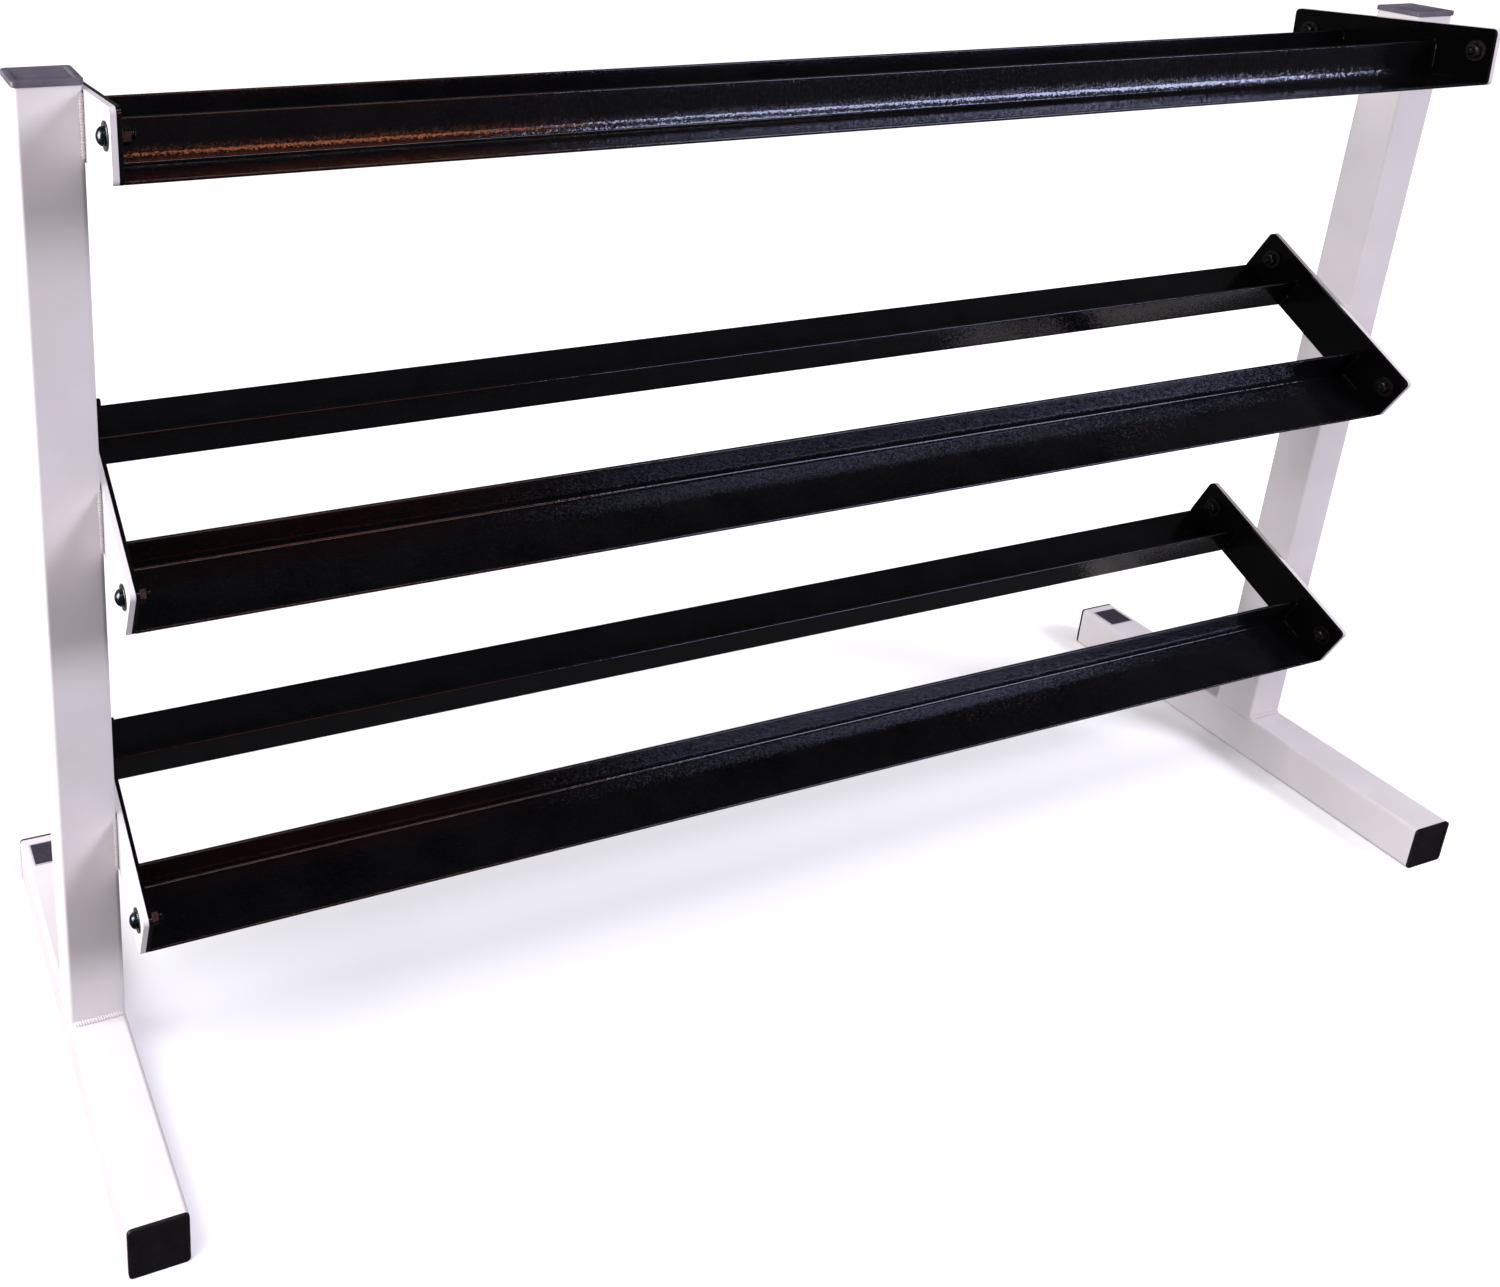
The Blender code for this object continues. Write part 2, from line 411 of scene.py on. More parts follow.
# The same skin on the nuts and the washers under them, rougher, and lighter and browner than the
# bolts: the warm brown is a painted reflection of the copper-brown light that the nuts catch.
WARM_SHEEN_OXIDE = replace(
    BLACK_OXIDE,
    name="rubbed_black_oxide_steel",
    colour="#4C4645",
    drift_colour="#2E2B2B",
    drift_mm=4.0,
    roughness=0.38,
    roughness_drift=0.08,
    relief_height_mm=0.02,
)
# Printed polyester label film: flat dark ink under a thin clear layer.
LABEL_INK = Finish(
    name="dark_printed_polyester_film",
    colour="#2B2830",
    drift_colour="#37333C",
    drift_mm=5.0,
    roughness=0.36,
    roughness_drift=0.05,
    relief_mm=3.0,
    relief_height_mm=0.01,
    relief_detail=1.0,
)
# The unprinted margin of the same film, silver-grey.
LABEL_MARGIN = replace(
    LABEL_INK,
    name="silver_polyester_film",
    colour="#A9A5AE",
    drift_colour="#9A969F",
    roughness=0.34,
)
# Matt white painted studio floor.
FLOOR_PAINT = Finish(
    name="matt_floor_paint",
    colour="#F5F5F6",
    drift_colour="#F2F2F4",
    drift_mm=900.0,
    roughness=0.85,
    roughness_drift=0.03,
    relief_mm=4.0,
    relief_height_mm=0.02,
    relief_detail=2.0,
)


def put_in_scene(name: str, data: bpy.types.ID) -> bpy.types.Object:
    """Put a mesh, a lamp or a camera in the scene.

    Args:
        name: The object's name.
        data: What it shows.

    Returns:
        The new object.
    """
    thing = bpy.data.objects.new(name, data)
    bpy.context.scene.collection.objects.link(thing)
    return thing


def shine_along(lamp: bpy.types.Object, direction: Vector) -> None:
    """Turn a lamp so that it shines along a direction."""
    lamp.rotation_mode = "QUATERNION"
    lamp.rotation_quaternion = direction.to_track_quat("-Z", "Y")


def settle_order(bm: bmesh.types.BMesh) -> None:
    """Number a shape's parts by their place, so that every run shades them alike.

    The operators hand their parts back in an order that changes from run to run, and
    the weighted normals depend on it.

    Args:
        bm: The shape.
    """
    for parts in (bm.verts, bm.edges, bm.faces):
        places = {}
        for part in parts:
            corners = [part] if isinstance(part, bmesh.types.BMVert) else part.verts
            places[part] = sorted(tuple(corner.co) for corner in corners)
        ranks = {part: rank for rank, part in enumerate(sorted(places, key=places.get))}
        parts.sort(key=ranks.get)


def add_piece(
    bm: bmesh.types.BMesh,
    name: str,
    finishes: list[Finish],
    slot: Slot,
    stands_for: tuple[str, ...] = (),
    place: Matrix | None = None,
) -> None:
    """Turn a bmesh into a finished piece that rides on the rack's one body.

    Args:
        bm: The shape, which is used up.
        name: The piece's name.
        finishes: Its finishes, in the order of the faces' material numbers.
        slot: The record's material slot.
        stands_for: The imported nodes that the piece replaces.
        place: Where the shape goes in the rack.
    """
    if place is not None:
        bmesh.ops.transform(bm, matrix=place, verts=bm.verts)
    bmesh.ops.remove_doubles(bm, verts=bm.verts, dist=MERGE_DISTANCE)
    bmesh.ops.recalc_face_normals(bm, faces=bm.faces)
    settle_order(bm)
    mesh = bpy.data.meshes.new(name)
    bm.to_mesh(mesh)
    bm.free()
    mesh.shade_smooth()
    mesh.set_sharp_from_angle(angle=SHARP_ANGLE)
    for finish in finishes:
        mesh.materials.append(finish.build())
    piece = put_in_scene(name, mesh)
    even = piece.modifiers.new("even_normals", "WEIGHTED_NORMAL")
    even.keep_sharp = True
    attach(piece, BODY)
    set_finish(piece, slot.value)
    if stands_for:
        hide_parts(*stands_for)
    LOG.info("%s: %d faces", name, len(mesh.polygons))


def round_edges(
    bm: bmesh.types.BMesh, edges: list[bmesh.types.BMEdge], radius: float, steps: int
) -> None:
    """Round a set of edges off.

    Args:
        bm: The shape.
        edges: The edges to round.
        radius: The rounding's radius.
        steps: How many strips make the rounding.
    """
    bmesh.ops.bevel(
        bm,
        geom=edges,
        offset=radius,
        offset_type="OFFSET",
        affect="EDGES",
        segments=steps,
        profile=0.5,
        material=-1,
        clamp_overlap=True,
    )


def make_block(size: Vector) -> bmesh.types.BMesh:
    """Make a box, centred on the origin.

    Args:
        size: Its three sides.

    Returns:
        The box.
    """
    bm = bmesh.new()
    bmesh.ops.create_cube(bm, size=1.0, matrix=Matrix.Diagonal((*size, 1.0)))
    return bm


def edges_along(bm: bmesh.types.BMesh, axis: int) -> list[bmesh.types.BMEdge]:
    """Find the edges that run along one axis.

    Args:
        bm: The shape.
        axis: The axis, 0, 1 or 2.

    Returns:
        The edges.
    """
    found = []
    for edge in bm.edges:
        along = edge.verts[1].co - edge.verts[0].co
        if abs(along[axis]) > PARALLEL * along.length:
            found.append(edge)
    return found


def rim_edges(bm: bmesh.types.BMesh, axis: int, level: float) -> list[bmesh.types.BMEdge]:
    """The edges of a flat end's outline, where the end is at a level along an axis.

    Args:
        bm: The shape.
        axis: The axis that the end faces along.
        level: The end's coordinate on that axis.

    Returns:
        The edges between the flat end and the walls round it.
    """
    found = []
    for edge in bm.edges:
        if any(abs(vertex.co[axis] - level) > MERGE_DISTANCE for vertex in edge.verts):
            continue
        flat = [abs(face.normal[axis]) > SQUARE_ON for face in edge.link_faces]
        if True in flat and False in flat:
            found.append(edge)
    return found


def lathe(profile: list[tuple[float, float]], steps: int) -> bmesh.types.BMesh:
    """Spin a profile round the Z axis.

    Args:
        profile: Radius and height of each point, in order.
        steps: How many facets go round.

    Returns:
        The spun shape.
    """
    bm = bmesh.new()
    line = [bm.verts.new((radius, 0.0, height)) for radius, height in profile]
    edges = [bm.edges.new(pair) for pair in zip(line, line[1:])]
    bmesh.ops.spin(
        bm,
        geom=line + edges,
        cent=(0.0, 0.0, 0.0),
        axis=(0.0, 0.0, 1.0),
        angle=2 * math.pi,
        steps=steps,
        use_merge=True,
        use_duplicate=False,
    )
    bmesh.ops.remove_doubles(bm, verts=bm.verts, dist=MERGE_DISTANCE)
    return bm


def join_shapes(bm: bmesh.types.BMesh, other: bmesh.types.BMesh) -> None:
    """Add another shape to a bmesh.

    Args:
        bm: The shape that grows.
        other: The shape to add, which is used up.
    """
    mesh = bpy.data.meshes.new("joined_shape")
    other.to_mesh(mesh)
    other.free()
    bm.from_mesh(mesh)
    bpy.data.meshes.remove(mesh)


@dataclass
class WeldBead:
    """A run of weld: a round bead with the ripples of its pool, coated with the parts it joins."""

    start: Vector
    finish: Vector
    radius: float = 2.6 * MM
    ripple_pitch: float = 2.4 * MM
    ripple_height: float = 0.13
    ripple_lean: float = 0.12
    wander: float = 0.10
    wander_rates: tuple[float, float] = (60.0, 160.0)
    wander_waves: int = 3
    end_width: float = 0.35
    end_power: int = 10
    facets: int = 12
    rings_per_ripple: int = 4
    fewest_rings: int = 6
    seed: int = 1

    def shape(self) -> bmesh.types.BMesh:
        """Build the bead in place.

        Returns:
            The bead.
        """
        along = self.finish - self.start
        length = along.length
        rings = round(length / self.ripple_pitch * self.rings_per_ripple)
        rings = max(self.fewest_rings, rings)
        bm = bmesh.new()
        bmesh.ops.create_cone(
            bm,
            cap_ends=True,
            cap_tris=False,
            segments=self.facets,
            radius1=self.radius,
            radius2=self.radius,
            depth=length,
        )
        bmesh.ops.subdivide_edges(bm, edges=edges_along(bm, 2), cuts=rings, use_grid_fill=True)
        draw = random.Random(self.seed)
        waves = [
            (draw.uniform(*self.wander_rates), draw.uniform(0, math.tau))
            for _ in range(self.wander_waves)
        ]
        for vertex in bm.verts:
            height = vertex.co.z + length / 2
            angle = math.atan2(vertex.co.y, vertex.co.x)
            lean = self.ripple_lean * math.cos(2 * angle)
            ripple = math.cos(math.tau * (height / self.ripple_pitch + lean))
            drift = sum(math.sin(rate * height + phase) for rate, phase in waves) / len(waves)
            to_end = min(1.0, abs(2 * height / length - 1))
            taper = max(self.end_width, math.sqrt(max(0.0, 1 - to_end**self.end_power)))
            swell = (1 + self.ripple_height * ripple + self.wander * drift) * taper
            vertex.co.x *= swell
            vertex.co.y *= swell
        turn = Vector((0.0, 0.0, 1.0)).rotation_difference(along).to_matrix().to_4x4()
        middle = Matrix.Translation((self.start + self.finish) / 2)
        bmesh.ops.transform(bm, matrix=middle @ turn, verts=bm.verts)
        return bm


@dataclass
class TubeSizes:
    """Sizes of the square tube and its plastic caps."""

    width: float = 50.8 * MM
    wall: float = 2.6 * MM
    corner: float = 4.0 * MM
    corner_steps: int = 6
    edge_steps: int = 3
    cap_head: float = 4.8 * MM
    cap_edge: float = 0.9 * MM
    cap_rim: float = 3.4 * MM
    cap_recess: float = 2.0 * MM
    cap_slope: float = 0.7
    cap_under_edge: float = 0.4 * MM
    cap_under_steps: int = 2
    foot_cap_head: float = 3.0 * MM
    foot_cap_edge: float = 1.0 * MM
    foot_cap_rim: float = 3.2 * MM
    foot_cap_recess: float = 0.5 * MM
    plug_depth: float = 12.0 * MM
    plug_slack: float = 0.8 * MM


@dataclass
class SideFrame:
    """One side frame: a foot tube on the floor and an upright welded to its middle."""

    side: Side
    tube: TubeSizes = field(default_factory=TubeSizes)
    weld_radius: float = 3.2 * MM
    weld_rise: float = 0.4 * MM
    side_weld_ripple: float = 0.04
    side_weld_wander: float = 0.03
    label_corner: float = 1.8 * MM
    label_corner_steps: int = 4
    label_margin: float = 1.4 * MM

    def build(self) -> None:
        """Build every piece of the side frame."""
        name = self.side.label
        self._tube(f"{name}_foot_tube", f"{name}_foot_beam", axis=1)
        self._tube(f"{name}_upright", f"{name}_post", axis=2)
        self._top_cap()
        for end in End:
            self._foot_cap(end)
        self._base_weld()
        self._label()

    def _tube(self, node: str, name: str, axis: int) -> None:
        """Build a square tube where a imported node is.

        Args:
            node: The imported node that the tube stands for.
            name: The piece's name.
            axis: The axis that the tube runs along.
        """
        low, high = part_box(node)
        bm = make_block(high - low)
        ends = [face for face in bm.faces if abs(face.normal[axis]) > 0.5]
        bmesh.ops.delete(bm, geom=ends, context="FACES_ONLY")
        round_edges(bm, edges_along(bm, axis), self.tube.corner, self.tube.corner_steps)
        bmesh.ops.recalc_face_normals(bm, faces=bm.faces)
        bmesh.ops.solidify(bm, geom=bm.faces[:], thickness=self.tube.wall)
        add_piece(
            bm, name, [WHITE_COAT], Slot.WHITE, (node,), Matrix.Translation((low + high) / 2)
        )

    def _cap_head(self, width: float, height: float, corner: float) -> bmesh.types.BMesh:
        """Make a slab with round corners that stands on Z = 0.

        Args:
            width: Its two equal sides.
            height: Its thickness.
            corner: The radius of its corners.

        Returns:
            The slab.
        """
        bm = make_block(Vector((width, width, height)))
        bmesh.ops.translate(bm, verts=bm.verts, vec=(0.0, 0.0, height / 2))
        round_edges(bm, edges_along(bm, 2), corner, self.tube.corner_steps)
        return bm

    def _add_plug(self, bm: bmesh.types.BMesh) -> None:
        """Add the part of a cap that sits in the tube, below Z = 0.

        Args:
            bm: The cap's head.
        """
        width = self.tube.width - 2 * self.tube.wall - self.tube.plug_slack
        plug = make_block(Vector((width, width, self.tube.plug_depth)))
        bmesh.ops.translate(plug, verts=plug.verts, vec=(0.0, 0.0, -self.tube.plug_depth / 2))
        join_shapes(bm, plug)

    def _sink_middle(self, bm: bmesh.types.BMesh, rim: float, depth: float) -> None:
        """Leave a rim round a cap's top and sink the middle.

        The rim and the slope under it scale the top's own outline, so that the round
        corners stay round and never fold over themselves.

        Args:
            bm: The cap's head.
            rim: Width of the rim.
            depth: How far the middle is below the rim.
        """
        top = max(bm.faces, key=lambda face: face.calc_center_median().z)
        for width, drop in ((rim, 0.0), (self.tube.cap_slope * depth, depth)):
            half = max(vertex.co.x for vertex in top.verts)
            top = bmesh.ops.extrude_discrete_faces(bm, faces=[top])["faces"][0]
            shrink = (half - width) / half
            bmesh.ops.scale(bm, vec=(shrink, shrink, 1.0), verts=top.verts)
            bmesh.ops.translate(bm, vec=(0.0, 0.0, -drop), verts=top.verts)

    def _top_cap(self) -> None:
        """Build the cap on top of the upright."""
        node = f"{self.side.label}_top_cap"
        low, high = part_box(node)
        bm = self._cap_head(high.x - low.x, self.tube.cap_head, self.tube.corner)
        head_edges = rim_edges(bm, 2, self.tube.cap_head)
        round_edges(bm, head_edges, self.tube.cap_edge, self.tube.edge_steps)
        under_edges = rim_edges(bm, 2, 0.0)
        round_edges(bm, under_edges, self.tube.cap_under_edge, self.tube.cap_under_steps)
        self._sink_middle(bm, self.tube.cap_rim, self.tube.cap_recess)
        self._add_plug(bm)
        centre = (low + high) / 2
        place = Matrix.Translation((centre.x, centre.y, high.z - self.tube.cap_head))
        name = f"{self.side.label}_post_cap"
        # The top cap gets the lighter copy of the plastic, a painted sheen.
        add_piece(bm, name, [LIT_CAP_PLASTIC], Slot.PLASTIC, (node,), place)

    def _foot_cap(self, end: End) -> None:
        """Build the flush cap in one end of the foot tube.

        Args:
            end: The end of the foot.
        """
        node = f"{self.side.label}_{end.label}_foot_cap"
        low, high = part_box(node)
        head = self.tube.foot_cap_head
        bm = self._cap_head(self.tube.width, head, self.tube.corner)
        round_edges(bm, rim_edges(bm, 2, head), self.tube.foot_cap_edge, self.tube.edge_steps)
        self._sink_middle(bm, self.tube.foot_cap_rim, self.tube.foot_cap_recess)
        self._add_plug(bm)
        centre = (low + high) / 2
        face_y = low.y + head if end is End.FRONT else high.y - head
        turn = Matrix.Rotation(-end.value * math.pi / 2, 4, "X")
        place = Matrix.Translation((centre.x, face_y, centre.z)) @ turn
        name = f"{self.side.label}_foot_{end.label}_plug"
        add_piece(bm, name, [CAP_PLASTIC], Slot.PLASTIC, (node,), place)

    def _base_weld(self) -> None:
        """Build the weld round the upright's foot."""
        low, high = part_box(f"{self.side.label}_upright")
        inset = self.tube.corner
        level = low.z + self.weld_rise
        bm = bmesh.new()
        for number, y in enumerate((low.y, high.y)):
            bead = WeldBead(
                Vector((low.x + inset / 2, y, level)),
                Vector((high.x - inset / 2, y, level)),
                radius=self.weld_radius,
                seed=10 + number,
            )
            join_shapes(bm, bead.shape())
        for number, x in enumerate((low.x, high.x)):
            inward = 1 if x == low.x else -1
            line = x + inward * (inset - self.weld_rise)
            bead = WeldBead(
                Vector((line, low.y, low.z)),
                Vector((line, high.y, low.z)),
                radius=inset,
                ripple_height=self.side_weld_ripple,
                wander=self.side_weld_wander,
                seed=20 + number,
            )
            join_shapes(bm, bead.shape())
        add_piece(bm, f"{self.side.label}_base_weld", [WHITE_COAT], Slot.WHITE)

    def _label(self) -> None:
        """Build the blank label on the foot: a dark panel inside a silver margin."""
        node = f"{self.side.label}_label"
        low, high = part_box(node)
        bm = make_block(high - low)
        round_edges(bm, edges_along(bm, 2), self.label_corner, self.label_corner_steps)
        top = max(bm.faces, key=lambda face: face.calc_center_median().z)
        bmesh.ops.inset_individual(
            bm, faces=[top], thickness=self.label_margin, use_even_offset=True
        )
        for face in bm.faces:
            face.material_index = 1
        top.material_index = 0
        name = f"{self.side.label}_blank_label"
        finishes = [LABEL_INK, LABEL_MARGIN]
        add_piece(bm, name, finishes, Slot.LABEL, (node,), Matrix.Translation((low + high) / 2))


class NutRing(Enum):
    """The kinds of ring that a hex nut is bridged from."""

    BORE = "bore"
    MOUTH = "mouth"
    TURNED = "turned corner"
    LOW_HEX = "low hex"
    HIGH_HEX = "high hex"


@dataclass
class Fastener:
    """A domed bolt through a bracket and an end plate, with two washers and a nut."""

    tier: Tier
    side: Side
    end: End
    facets: int = 40
    shank_radius: float = 4.0 * MM
    head_radius: float = 7.3 * MM
    head_height: float = 5.8 * MM
    head_edge: float = 0.3 * MM
    head_rim: float = 0.5 * MM
    dome_steps: int = 9
    washer_radius: float = 11.0 * MM
    washer_thickness: float = 1.6 * MM
    washer_edge: float = 0.35 * MM
    washer_gap: float = 0.3 * MM
    nut_flats: float = 13.0 * MM
    nut_height: float = 6.5 * MM
    nut_sides: int = 48
    nut_turned_share: float = 0.97
    nut_slope_degrees: float = 30.0
    nut_mouth_width: float = 0.5 * MM
    nut_mouth_depth: float = 0.4 * MM
    thread_pitch: float = 1.25 * MM
    thread_depth: float = 0.6 * MM
    thread_crest: tuple[float, float] = (0.4, 0.6)
    thread_run_out: float = 1.5 * MM
    tip: float = 4.5 * MM
    tip_edge: float = 0.3 * MM
    tip_length: float = 0.5 * MM

    def build(self) -> None:
        """Build the bolt, the washers and the nut."""
        stem = f"{self.tier.label}_{self.side.label}_{self.end.label}"
        bolt_low, bolt_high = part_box(f"{stem}_bolt")
        nut_low, nut_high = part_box(f"{stem}_nut")
        sign = self.side.value
        axis_y = (bolt_low.y + bolt_high.y) / 2
        axis_z = (bolt_low.z + bolt_high.z) / 2
        head_end = bolt_high.x if sign > 0 else bolt_low.x
        seat = head_end - sign * (self.head_height + self.washer_thickness)
        nut_seat = nut_high.x if sign > 0 else nut_low.x
        tip_end = bolt_low.x if sign > 0 else bolt_high.x
        outward = Matrix.Rotation(sign * math.pi / 2, 4, "Y")
        inward = Matrix.Rotation(-sign * math.pi / 2, 4, "Y")
        tilt = Matrix.Rotation(math.radians(self.tier.value), 4, "X")
        outside = Matrix.Translation((seat, axis_y, axis_z)) @ tilt @ outward
        inside = Matrix.Translation((nut_seat, axis_y, axis_z)) @ tilt @ inward
        bolt = self._bolt(abs(tip_end - seat))
        add_piece(bolt, f"{stem}_dome_bolt", [BLACK_OXIDE], Slot.OXIDE, (f"{stem}_bolt",), outside)
        add_piece(self._washer(), f"{stem}_outer_washer", [BLACK_OXIDE], Slot.OXIDE, (), outside)
        # The nut and its washer take the browner oxide, a painted reflection.
        nut_name = f"{stem}_hex_nut"
        add_piece(self._nut(), nut_name, [WARM_SHEEN_OXIDE], Slot.OXIDE, (f"{stem}_nut",), inside)
        add_piece(self._washer(), f"{stem}_inner_washer", [WARM_SHEEN_OXIDE], Slot.OXIDE, (), inside)

    def _bolt(self, depth: float) -> bmesh.types.BMesh:
        """A domed head on top of the washer and a shank that ends in a thread.

        Args:
            depth: How far the shank reaches below the washer's seat.

        Returns:
            The bolt, with the washer's seat at Z = 0 and its shank towards -Z.
        """
        root = self.shank_radius - self.thread_depth
        profile = [(0.0, -depth), (root - self.tip_edge, -depth)]
        turns = int((self.tip + self.thread_run_out) / self.thread_pitch)
        level = -depth + self.tip_length
        for _ in range(turns):
            profile.append((root, level))
            for share in self.thread_crest:
                profile.append((self.shank_radius, level + share * self.thread_pitch))
            level += self.thread_pitch
        profile.append((root, level))
        profile.append((self.shank_radius, level + self.thread_depth))
        profile.append((self.shank_radius, self.washer_thickness))
        rim = self.washer_thickness + self.head_rim
        profile.append((self.head_radius - self.head_edge, self.washer_thickness))
        profile.append((self.head_radius, rim))
        for step in range(1, self.dome_steps + 1):
            angle = math.pi / 2 * step / self.dome_steps
            radius = self.head_radius * math.cos(angle)
            height = rim + (self.head_height - self.head_rim) * math.sin(angle)
            profile.append((radius if step < self.dome_steps else 0.0, height))
        return lathe(profile, self.facets)

    def _washer(self) -> bmesh.types.BMesh:
        """Make a flat washer with broken edges.

        Returns:
            The washer, with its seat at Z = 0.
        """
        bore = self.shank_radius + self.washer_gap
        edge = self.washer_edge
        outer = self.washer_radius
        top = self.washer_thickness
        profile = [
            (bore, 0.0),
            (outer - edge, 0.0),
            (outer, edge),
            (outer, top - edge),
            (outer - edge, top),
            (bore, top),
            (bore, 0.0),
        ]
        return lathe(profile, self.facets)

    def _nut(self) -> bmesh.types.BMesh:
        """Make a hex nut with its corners turned down at both ends.

        Returns:
            The nut, standing on the washer.
        """
        apothem = self.nut_flats / 2
        turned = apothem * self.nut_turned_share
        slope = math.tan(math.radians(self.nut_slope_degrees))
        base = self.washer_thickness
        top = base + self.nut_height
        levels = [
            (NutRing.BORE, base + self.nut_mouth_depth),
            (NutRing.MOUTH, base),
            (NutRing.TURNED, base),
            (NutRing.LOW_HEX, base),
            (NutRing.HIGH_HEX, top),
            (NutRing.TURNED, top),
            (NutRing.MOUTH, top),
            (NutRing.BORE, top - self.nut_mouth_depth),
        ]
        round_rings = {
            NutRing.BORE: self.shank_radius,
            NutRing.MOUTH: self.shank_radius + self.nut_mouth_width,
            NutRing.TURNED: turned,
        }
        bm = bmesh.new()
        rings = []
        for kind, level in levels:
            made = bmesh.ops.create_circle(
                bm, cap_ends=False, segments=self.nut_sides, radius=1.0
            )
            for vertex in made["verts"]:
                angle = math.atan2(vertex.co.y, vertex.co.x)
                to_flat = (angle % (math.pi / 3)) - math.pi / 6
                corner = apothem / math.cos(to_flat)
                drop = (corner - turned) * slope
                radius = round_rings.get(kind, corner)
                rise = {NutRing.LOW_HEX: drop, NutRing.HIGH_HEX: -drop}.get(kind, 0.0)
                across, upward = radius * math.cos(angle), radius * math.sin(angle)
                vertex.co = Vector((across, upward, level + rise))
            rings.append(list({edge for v in made["verts"] for edge in v.link_edges}))
        for lower, upper in zip(rings, rings[1:] + rings[:1]):
            bmesh.ops.bridge_loops(bm, edges=lower + upper)
        return bm


@dataclass
class Shelf:
    """One shelf: two angle rails welded between end plates that are bolted to the brackets."""

    tier: Tier
    plate_length: float = 235.0 * MM
    plate_height: float = 56.0 * MM
    plate_corner: float = 5.0 * MM
    plate_corner_steps: int = 8
    plate_edge: float = 0.6 * MM
    plate_edge_steps: int = 2
    hole_radius: float = 4.5 * MM
    hole_sides: int = 24
    hole_zone: float = 1.5
    ledge: float = 64.0 * MM
    lip: float = 38.1 * MM
    thickness: float = 3.2 * MM
    fold_radius: float = 2.0 * MM
    fold_steps: int = 8
    fold_zone: float = 1.01
    heel_radius: float = 2.4 * MM
    toe_radius: float = 1.2 * MM
    toe_steps: int = 3
    lip_bow: float = 0.2 * MM
    bow_power: int = 2
    lip_cuts: int = 5
    root_height: float = 9.0 * MM
    root_swell: float = 1.9 * MM
    root_power: float = 1.5
    root_cuts: int = 8
    inset: float = 1.0 * MM
    weld_radius: float = 2.5 * MM
    weld_rise: float = 0.4 * MM
    ledge_weld: float = 26.0 * MM
    lip_weld_gaps: tuple[float, float] = (5.0 * MM, 3.0 * MM)
    back_weld: float = 12.0 * MM
    back_weld_gap: float = 1.0 * MM
    crown_weld_drop: float = 0.2 * MM
    crown_weld_overrun: float = 0.6 * MM
    heel_weld: float = 14.0 * MM
    bracket_weld_radius: float = 2.3 * MM
    bracket_weld_inset: float = 1.6 * MM
    bracket_weld_gap: float = 1.5 * MM

    def build(self) -> None:
        """Build every piece of the shelf."""
        for side in Side:
            self._plate(side, "bracket", "welded_bracket", WHITE_COAT, Slot.WHITE)
            self._plate(side, "end_plate", "shelf_end_plate", BLACK_COAT, Slot.BLACK)
            self._bracket_weld(side)
            for end in End:
                Fastener(self.tier, side, end).build()
        for end in End:
            self._rail(end)
            for side in Side:
                self._rail_weld(end, side)

    def _place(self) -> Matrix:
        """Find the shelf's own axes in the rack: Y to its rear, Z up from its ledges.

        Returns:
            The matrix from the shelf's axes to the rack's.
        """
        low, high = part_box(f"{self.tier.label}_left_bracket")
        centre = (low + high) / 2
        tilt = Matrix.Rotation(math.radians(self.tier.value), 4, "X")
        return Matrix.Translation((0.0, centre.y, centre.z)) @ tilt

    def _bolt_holes(self, side: Side) -> list[Vector]:
        """Find the bolts on a plate.

        Args:
            side: The side of the rack.

        Returns:
            Their places in the shelf's own axes.
        """
        inverse = self._place().inverted()
        holes = []
        for end in End:
            low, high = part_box(f"{self.tier.label}_{side.label}_{end.label}_bolt")
            holes.append(inverse @ ((low + high) / 2))
        return holes

    def _plate(self, side: Side, kind: str, word: str, finish: Finish, slot: Slot) -> None:
        """Build a drilled plate with round corners and softened edges.

        Args:
            side: The side of the rack.
            kind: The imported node's kind, a bracket or an end plate.
            word: The piece's name after its tier and side.
            finish: Its finish.
            slot: The record's material slot.
        """
        node = f"{self.tier.label}_{side.label}_{kind}"
        low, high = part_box(node)
        bm = bmesh.new()
        bmesh.ops.create_grid(bm, x_segments=1, y_segments=1, size=0.5)
        size = Matrix.Diagonal((self.plate_length, self.plate_height, 1.0, 1.0))
        bmesh.ops.transform(bm, matrix=size, verts=bm.verts)
        bmesh.ops.bevel(
            bm,
            geom=bm.verts[:],
            offset=self.plate_corner,
            affect="VERTICES",
            segments=self.plate_corner_steps,
            profile=0.5,
            material=-1,
        )
        bmesh.ops.delete(bm, geom=bm.faces[:], context="FACES_ONLY")
        holes = self._bolt_holes(side)
        for hole in holes:
            bmesh.ops.create_circle(
                bm,
                cap_ends=False,
                segments=self.hole_sides,
                radius=self.hole_radius,
                matrix=Matrix.Translation((hole.y, hole.z, 0.0)),
            )
        bmesh.ops.triangle_fill(bm, use_beauty=True, use_dissolve=False, edges=bm.edges[:])
        thick = high.x - low.x
        grown = bmesh.ops.extrude_face_region(bm, geom=bm.faces[:])
        raised = [item for item in grown["geom"] if isinstance(item, bmesh.types.BMVert)]
        bmesh.ops.translate(bm, verts=raised, vec=(0.0, 0.0, thick))
        bmesh.ops.recalc_face_normals(bm, faces=bm.faces)
        outline = []
        for edge in rim_edges(bm, 2, 0.0) + rim_edges(bm, 2, thick):
            middle = (edge.verts[0].co + edge.verts[1].co) / 2
            gaps = [math.hypot(middle.x - hole.y, middle.y - hole.z) for hole in holes]
            if min(gaps) > self.hole_zone * self.hole_radius:
                outline.append(edge)
        round_edges(bm, outline, self.plate_edge, self.plate_edge_steps)
        stand = Matrix(((0, 0, 1, 0), (1, 0, 0, 0), (0, 1, 0, 0), (0, 0, 0, 1)))
        place = self._place() @ Matrix.Translation((low.x, 0.0, 0.0)) @ stand
        add_piece(bm, f"{self.tier.label}_{side.label}_{word}", [finish], slot, (node,), place)

